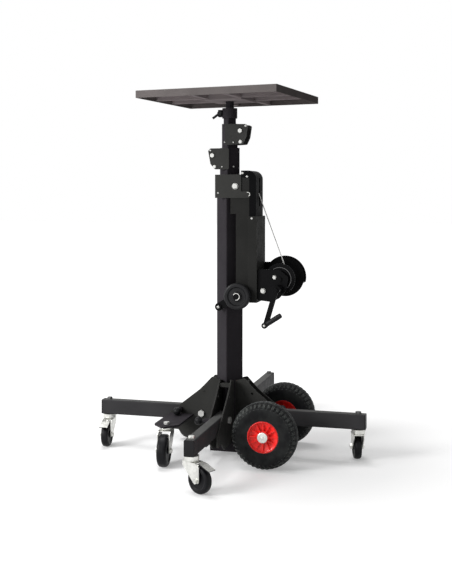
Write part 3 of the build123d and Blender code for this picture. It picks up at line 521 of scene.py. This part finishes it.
# Big wheels
WHEEL_SEGMENTS = 72
LUGS = 42
LUG_STEPS = (0.0, 0.05, 0.18, 0.31, 0.36, 0.52, 0.68, 0.84)
NOTCH_STARTS, NOTCH_ENDS = 0.02, 0.34
SHOULDER_NOTCH = 3
TYRE_CORE = 97
TYRE_CREASE = 38
TYRE_SIDE = [  # radius, distance from the middle, depth of the notches, zigzag
    (129.9, 0, 0, 0), (129.9, 6, 0, 2.2), (125.4, 7, 0, 2.2), (125.4, 9.8, 0, 2.2),
    (129.5, 10.8, 0, 2.2), (129.0, 16, 1.8, 0), (127.6, 22, 2.6, 0), (125.2, 28, 3.6, 0),
    (121.6, 33, 4.6, 0), (117.0, 37.2, 4.4, 0), (112.6, 39.8, 3.0, 0), (108.4, 41.2, 0, 0),
    (103, 42.1, 0, 0), (96, 42.3, 0, 0), (88, 42.0, 0, 0), (80, 41.0, 0, 0), (74, 39.8, 0, 0),
    (69, 38.9, 0, 0), (64, 38.4, 0, 0), (61.4, 37.8, 0, 0), (60.6, 36.6, 0, 0),
    (60.6, 33.5, 0, 0), (62, 33.5, 0, 0),
]
RIM_DISH = [(24.2, 20), (26, 20), (40, 22), (52, 26), (57.8, 30), (57.8, 33), (52, 29.5),
            (40, 25.5), (26, 23.5), (24.2, 23.5)]
RIM_LIP = [(56.4, 32.8), (60.4, 32.8), (60.4, 38.4), (59.6, 39.6), (58, 39.8), (56.6, 38.6)]
RIB = [(26, 33), (40, 32.5), (55.5, 33.5), (55.5, 29), (40, 23.5), (26, 21)]
RIBS, RIB_HALF = 12, 2
AXLE_REACH = 47.2
AXLE_CAP = [(0, 0), (6, 0), (6, 3), (5, 3.8), (0, 3.8)]
AXLE_SEGMENTS = 24


def tyre_ring(bm, centre, outline, lug, part):
    """Vertices across the tyre at one part of a lug, and which are on its shoulder."""
    turn = 2 * pi * (lug + part) / LUGS
    ring, shoulder = [], []
    for radius, y, notch, zigzag in outline:
        phase = part if y > 0 else (part + 0.5) % 1
        lowered = NOTCH_STARTS < phase < NOTCH_ENDS
        shoulder.append(notch > SHOULDER_NOTCH and not lowered)
        if notch and lowered:
            inward = Vector((TYRE_CORE - radius, -y)).normalized() * notch
            radius, y = radius + inward.x, y + inward.y
        y += zigzag * (1 - 4 * abs(part - 0.5))
        place = Vector((radius * cos(turn), y, radius * sin(turn)))
        ring.append(bm.verts.new(centre + place * MM))
    return ring, shoulder


def big_tyre(name):
    """Tyre with a zigzag centre rib, lugs whose shoulders are painted lighter grey as a highlight,
    and plain sidewalls.
    """
    centre = joint_at("wheel_roll_" + name)
    other_side = [(r, -y, notch, zigzag) for r, y, notch, zigzag in reversed(TYRE_SIDE)]
    outline = other_side + TYRE_SIDE[1:]
    bm = bmesh.new()
    rings = []
    for lug in range(LUGS):
        rings += [tyre_ring(bm, centre, outline, lug, part) for part in LUG_STEPS]
    # raised shoulder faces take the second material, painted lighter as a highlight
    for (ring, here), (following, there) in zip(rings, rings[1:] + rings[:1]):
        for i, face in enumerate(join_rings(bm, ring, following)):
            j = (i + 1) % len(ring)
            face.material_index = int(here[i] and here[j] and there[i] and there[j])
    shown = piece("tyre_tread_" + name, bm, TYRE, "wheel_" + name, "tyre", ["tyre_" + name],
                  TYRE_CREASE)
    shown.data.materials.append(LUG_SHOULDER_HIGHLIGHT)


def rim_dish(name):
    """Dished discs with ribs between the hub and the rim, and rolled lips."""
    centre = joint_at("wheel_roll_" + name)
    bm = bmesh.new()
    for side in (-1, 1):
        matrix = towards(centre, (0, side, 0))
        lathe(bm, rounded(RIM_DISH, 0.8), matrix, WHEEL_SEGMENTS, closed=True)
        lathe(bm, rounded(RIM_LIP, 0.6), matrix, WHEEL_SEGMENTS, closed=True)
        for rib in range(RIBS):
            place = matrix @ Matrix.Rotation(2 * pi * rib / RIBS, 4, "Z")
            walls = []
            for half in (-RIB_HALF, RIB_HALF):
                walls.append([bm.verts.new(place @ (Vector((r, half, z)) * MM)) for r, z in RIB])
            tube(bm, walls)
    piece("rim_dish_" + name, bm, RED, "wheel_" + name, "red_rim")


def axle_end(name):
    """The wheel axle's end on the outer side."""
    outward = FRONT if name == "front" else BACK
    place = joint_at("wheel_roll_" + name) + Vector(outward) * AXLE_REACH * MM
    turned("axle_end_" + name, AXLE_CAP, place, outward, AXLE_SEGMENTS, ZINC, "base", "zinc")


for name in WHEELS:
    big_tyre(name)
    rim_dish(name)
    axle_end(name)

# Castor wheels, each with its radius and width
LEG_CASTOR = (50, 32)
MID_CASTOR = (62.5, 40)
CASTOR_ROUNDING = 1.2


def castor_wheel(name, joint, body, node, radius, width):
    """Castor wheel with a crowned tread, a stepped side and a raised hub."""
    half = width / 2
    side = [(6.2, half), (11.5, half), (12.8, half - 1), (13.4, half - 4.2),
            (radius * 0.60, half - 4.4), (radius * 0.66, half - 3.4), (radius * 0.70, half - 0.8),
            (radius * 0.76, half - 0.2), (radius * 0.88, half - 1.4), (radius * 0.955, half - 4.6),
            (radius * 0.99, half - 9), (radius, half - 14.5)]
    turned(name, rounded(mirrored(side), CASTOR_ROUNDING), joint_at(joint), JOINTS[joint]["axis"],
           WHEEL_SEGMENTS, CASTOR, body, "tyre", [node], closed=True)


for name in LEGS:
    castor_wheel("castor_wheel_" + name, name + "_castor_roll", name + "_castor",
                 "castor_" + name, *LEG_CASTOR)
for name in WHEELS:
    castor_wheel("mid_wheel_" + name, "mid_roll_" + name, "mid_castor_" + name,
                 "mid_castor_" + name, *MID_CASTOR)

# Roller and its clip
ROLLER_SIDE = [(8.2, 12.9), (19, 12.9), (20, 11.9), (20.4, 8.2), (34, 8), (36, 9.4), (38.5, 12.6),
               (47, 12.9), (51.5, 11.4), (53.6, 8), (53.9, 2.4), (52.4, 1.2)]
ROLLER_ROUNDING = 0.8
ROLLER_SEGMENTS = 80
CLIP = {"radius": 13.2, "wire": 1.5, "start": -100, "end": 150, "steps": 28}

turned("mast_roller", rounded(mirrored(ROLLER_SIDE), ROLLER_ROUNDING), joint_at("roller_turn"),
       JOINTS["roller_turn"]["axis"], ROLLER_SEGMENTS, PLASTIC, "roller", "black_plastic",
       ["roller"], closed=True)

clip_at = joint_at("roller_turn")
clip_at.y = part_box("roller_arm")[0].y
bm = bmesh.new()
arc_ring(bm, towards(clip_at, FRONT), **CLIP)
piece("roller_clip", bm, ZINC, "base", "zinc")

# Drum, with a rolled ring on its near flange and the rope wound on it
DRUM_FACE = 46
DRUM_RING = [(44, 0), (47, 0), (47, 2.4), (44, 2.4)]
DRUM_ROUNDING = 0.9
DRUM_CORE = 25
ROPE, ROPE_GAP, ROPE_SIDES = 2.0, 0.1, 8
TURNS, PER_TURN = 8, 40
WINDING_STARTS, WINDING_PITCH = -38.5, 4.2

drum_at = joint_at("drum_turn")
flange_at = drum_at + Vector(FRONT) * DRUM_FACE * MM
turned("drum_rings", rounded(DRUM_RING, DRUM_ROUNDING), flange_at, FRONT, WHEEL_SEGMENTS,
       ROLLED, "drum", "dark_steel", closed=True)

bm = bmesh.new()
winding = []
for step in range(TURNS * PER_TURN + 1):
    turn = 2 * pi * step / PER_TURN
    out = Vector((cos(turn), 0, sin(turn)))
    shift = WINDING_STARTS + WINDING_PITCH * step / PER_TURN
    middle = out * (DRUM_CORE + ROPE + ROPE_GAP) + ALONG_Y * shift
    points = wire_ring(middle, out, ALONG_Y, ROPE, ROPE_SIDES)
    winding.append([bm.verts.new(drum_at + point * MM) for point in points])
tube(bm, winding)
piece("drum_winding", bm, WIRE, "drum", "wire")

# Rings on the grip, along its handle
GRIP_LEAN = 33
GRIP_MIDDLE = 16
GRIP_RINGS, FIRST_RING, RING_PITCH = 5, 24, 9
RING_OUTLINE = [(9, -1.6), (10.7, -1.6), (10.7, 1.6), (9, 1.6)]
RING_ROUNDING = 0.8
RING_SEGMENTS = 40

handle = Vector((cos(radians(GRIP_LEAN)), 0, sin(radians(GRIP_LEAN))))
grip_at = joint_at("grip_turn")
grip_at.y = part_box("grip")[0].y + GRIP_MIDDLE * MM
bm = bmesh.new()
for index in range(GRIP_RINGS):
    place = grip_at + handle * (FIRST_RING + index * RING_PITCH) * MM
    lathe(bm, rounded(RING_OUTLINE, RING_ROUNDING), towards(place, handle), RING_SEGMENTS,
          closed=True)
piece("grip_rings", bm, PLASTIC, "grip", "black_plastic")

# Ball knobs over the lock pins' own
KNOB_RADIUS, KNOB_NECK = 16.5, 8.5
KNOB_INSET = 13
KNOB_STEPS, KNOB_HALF_TURN = 11, 14
KNOB_SEGMENTS = 40

knob_turns = [pi * step / KNOB_HALF_TURN for step in range(1, KNOB_STEPS + 1)]
knob = [(0, KNOB_RADIUS)]
knob += [(KNOB_RADIUS * sin(turn), KNOB_RADIUS * cos(turn)) for turn in knob_turns]
knob += [(KNOB_NECK, -KNOB_RADIUS), (0, -KNOB_RADIUS)]
for name, (turn, reach) in LEGS.items():
    knob_low, knob_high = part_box("lock_knob_" + name)
    outward = Vector((-sin(radians(turn)), cos(radians(turn)), 0))
    if name == "front":
        outward = -outward
    pin_half = abs(((knob_high - knob_low) / 2).dot(outward))
    ball = (knob_low + knob_high) / 2 + outward * (pin_half - KNOB_INSET * MM)
    turned("knob_" + name, knob, ball, outward, KNOB_SEGMENTS, PLASTIC, name + "_lock_knob",
           "black_plastic")

# Bolts and screws: body, x, distance from the middle, z, width across, height, head
BOTH_SIDES = [
    ("base", 38.6, 60.9, 1096.6, 21, 8, hex_head),
    ("base", -33, 60.9, 1069.5, 9, 3, dome_head),
    ("base", 70, 60, 1150, 10, 3, dome_head),
    ("base", 88.5, 60, 1136, 10, 3, dome_head),
    ("base", 112, 77, 967, 10, 3, dome_head),
    ("first_stage", -52, 46.2, 1177, 12, 5, hex_head),
    ("first_stage", -70, 46.2, 1244, 9, 3, dome_head),
    ("first_stage", -21, 46.2, 1176, 7.5, 3, dome_head),
    ("second_stage", 55, 37.7, 1278, 13, 5, hex_head),
    ("second_stage", 77, 37.7, 1343, 10, 3, dome_head),
    ("second_stage", 25, 37.7, 1276, 7.5, 3, dome_head),
]
FRONT_SIDE = [
    ("base", 203, 66, 731, 14, 7, hex_head),
    ("base", 155.8, 66, 675.8, 18, 8, hex_head),
    ("base", -29.5, 72.9, 606, 12, 3, dome_head),
    ("crank", 221, 122, 688, 14, 9, hex_head),
    ("grip", 179, 149.3, 547.1, 9, 2, dome_head),
]
# Screws in the tubes' four faces: body, from the axis to a face, z
TUBE_SCREWS = [("first_stage", 31, 1176.7), ("second_stage", 25, 1278.7)]
SCREW_ACROSS, SCREW_HEIGHT = 8, 2.5
TUBE_FACES = ((-1, -1), (1, -1), (1, 1), (-1, 1))

heads = {}


def fasten(body, place, direction, across, height, head):
    """A head on the mesh that gathers its body's."""
    bm = heads.setdefault(body, bmesh.new())
    head(bm, towards(place, direction), across, height)


for body, x, y, z, across, height, head in BOTH_SIDES:
    fasten(body, at(x, -y, z), FRONT, across, height, head)
    fasten(body, at(x, y, z), BACK, across, height, head)
for body, x, y, z, across, height, head in FRONT_SIDE:
    fasten(body, at(x, -y, z), FRONT, across, height, head)
for body, half, z in TUBE_SCREWS:
    for x, y in TUBE_FACES:
        place = at(x * half / sqrt(2), y * half / sqrt(2), z)
        fasten(body, place, (x, y, 0), SCREW_ACROSS, SCREW_HEIGHT, dome_head)
for body, bm in heads.items():
    if body == "crank":
        piece("bolts_" + body, bm, GLOSS, body, "dark_steel")
    else:
        piece("bolts_" + body, bm, BOLT_ZINC, body, "zinc")

# Wire guards that keep the cable on the head pulley
GUARD_X, GUARD_Y, GUARD_Z = 92, 60.5, 1064
GUARD = {"radius": 8, "wire": 1.3, "start": -70, "end": 120, "steps": 16}

bm = bmesh.new()
for outward in (FRONT, BACK):
    place = at(GUARD_X, outward[1] * GUARD_Y, GUARD_Z)
    arc_ring(bm, towards(place, outward), **GUARD)
piece("cable_guard", bm, ZINC, "base", "zinc")

# Floor, light and camera
FLOOR_SIZE = 30
FADE_SPAN = (0.7, 1.9)
FLOOR_NEAR, FLOOR_FAR = (0.80, 0.80, 0.80), (0.5, 0.5, 0.5)
GLOW_NEAR, GLOW_FAR = 0.30, 1.0
WORLD_LIGHT, WORLD_SEEN = 0.16, 1.0


def seen_rays(tree):
    """1 for rays from the camera and those off or through shiny surfaces, else 0."""
    path = tree.nodes.new("ShaderNodeLightPath")
    seen = path.outputs["Is Camera Ray"]
    for name in ("Is Glossy Ray", "Is Transmission Ray"):
        larger = tree.nodes.new("ShaderNodeMath")
        larger.operation = "MAXIMUM"
        tree.links.new(seen, larger.inputs[0])
        tree.links.new(path.outputs[name], larger.inputs[1])
        seen = larger.outputs["Value"]
    return seen


def floor_material():
    """Pale floor that keeps the shadow and turns to the white background farther out."""
    nodes = Nodes("floor")
    nodes.put("Roughness", 0.9)
    nodes.put("Specular IOR Level", 0.0)
    reach = nodes.add("ShaderNodeVectorMath", operation="LENGTH")
    nodes.link(nodes.place, reach.inputs[0])
    far = nodes.ranged(reach.outputs["Value"], FADE_SPAN, (0, 1))
    nodes.put("Base Color", nodes.mixed(far, FLOOR_NEAR, FLOOR_FAR))
    glow = nodes.add("ShaderNodeMath", operation="MULTIPLY")
    nodes.link(seen_rays(nodes.tree), glow.inputs[0])
    nodes.link(nodes.ranged(far, (0, 1), (GLOW_NEAR, GLOW_FAR)), glow.inputs[1])
    nodes.put("Emission Color", (1, 1, 1, 1))
    nodes.put("Emission Strength", glow.outputs["Value"])
    return nodes.material


def lamp(name, place, target, size, power):
    data = bpy.data.lights.new(name, "AREA")
    data.shape = "DISK"
    data.size = size
    data.energy = power
    shown = bpy.data.objects.new(name, data)
    shown.location = place
    aim = Vector(target) - Vector(place)
    shown.rotation_euler = aim.to_track_quat("-Z", "Y").to_euler()
    bpy.context.scene.collection.objects.link(shown)


bm = bmesh.new()
bmesh.ops.create_grid(bm, x_segments=1, y_segments=1, size=FLOOR_SIZE)
floor_mesh = bpy.data.meshes.new("floor")
bm.to_mesh(floor_mesh)
bm.free()
floor_mesh.materials.append(floor_material())
floor = bpy.data.objects.new("floor", floor_mesh)
bpy.context.scene.collection.objects.link(floor)

world = bpy.data.worlds.new("studio")
bpy.context.scene.world = world
world.use_nodes = True
tree = world.node_tree
background = tree.nodes["Background"]
background.inputs["Color"].default_value = (1, 1, 1, 1)
strength = tree.nodes.new("ShaderNodeMapRange")
strength.inputs["To Min"].default_value = WORLD_LIGHT
strength.inputs["To Max"].default_value = WORLD_SEEN
tree.links.new(seen_rays(tree), strength.inputs["Value"])
tree.links.new(strength.outputs["Result"], background.inputs["Strength"])

lamp("key", place=(-3.0, -3.0, 2.2), target=(0, 0, 0.7), size=2.0, power=170)
lamp("top", place=(-0.6, 0.2, 4.2), target=(0, 0, 0.5), size=2.4, power=105)
lamp("low_fill", place=(-1.0, -3.6, 0.9), target=(0, 0, 0.6), size=2.0, power=14)

camera = bpy.data.objects.new("camera", bpy.data.cameras.new("camera"))
bpy.context.scene.collection.objects.link(camera)
bpy.context.scene.camera = camera
camera.location = at(*CAMERA)
camera.rotation_euler = (pi / 2, 0, radians(CAMERA_TURN))
camera.data.sensor_width = SENSOR
camera.data.lens = FOCAL_PX / FRAME_PX[1] * SENSOR
camera.data.shift_x = (FRAME_PX[0] / 2 - PRINCIPAL_PX[0]) / FRAME_PX[1]
camera.data.shift_y = (PRINCIPAL_PX[1] - FRAME_PX[1] / 2) / FRAME_PX[1]
camera.data.clip_end = VIEW_REACH

bpy.context.scene.view_settings.view_transform = "Standard"
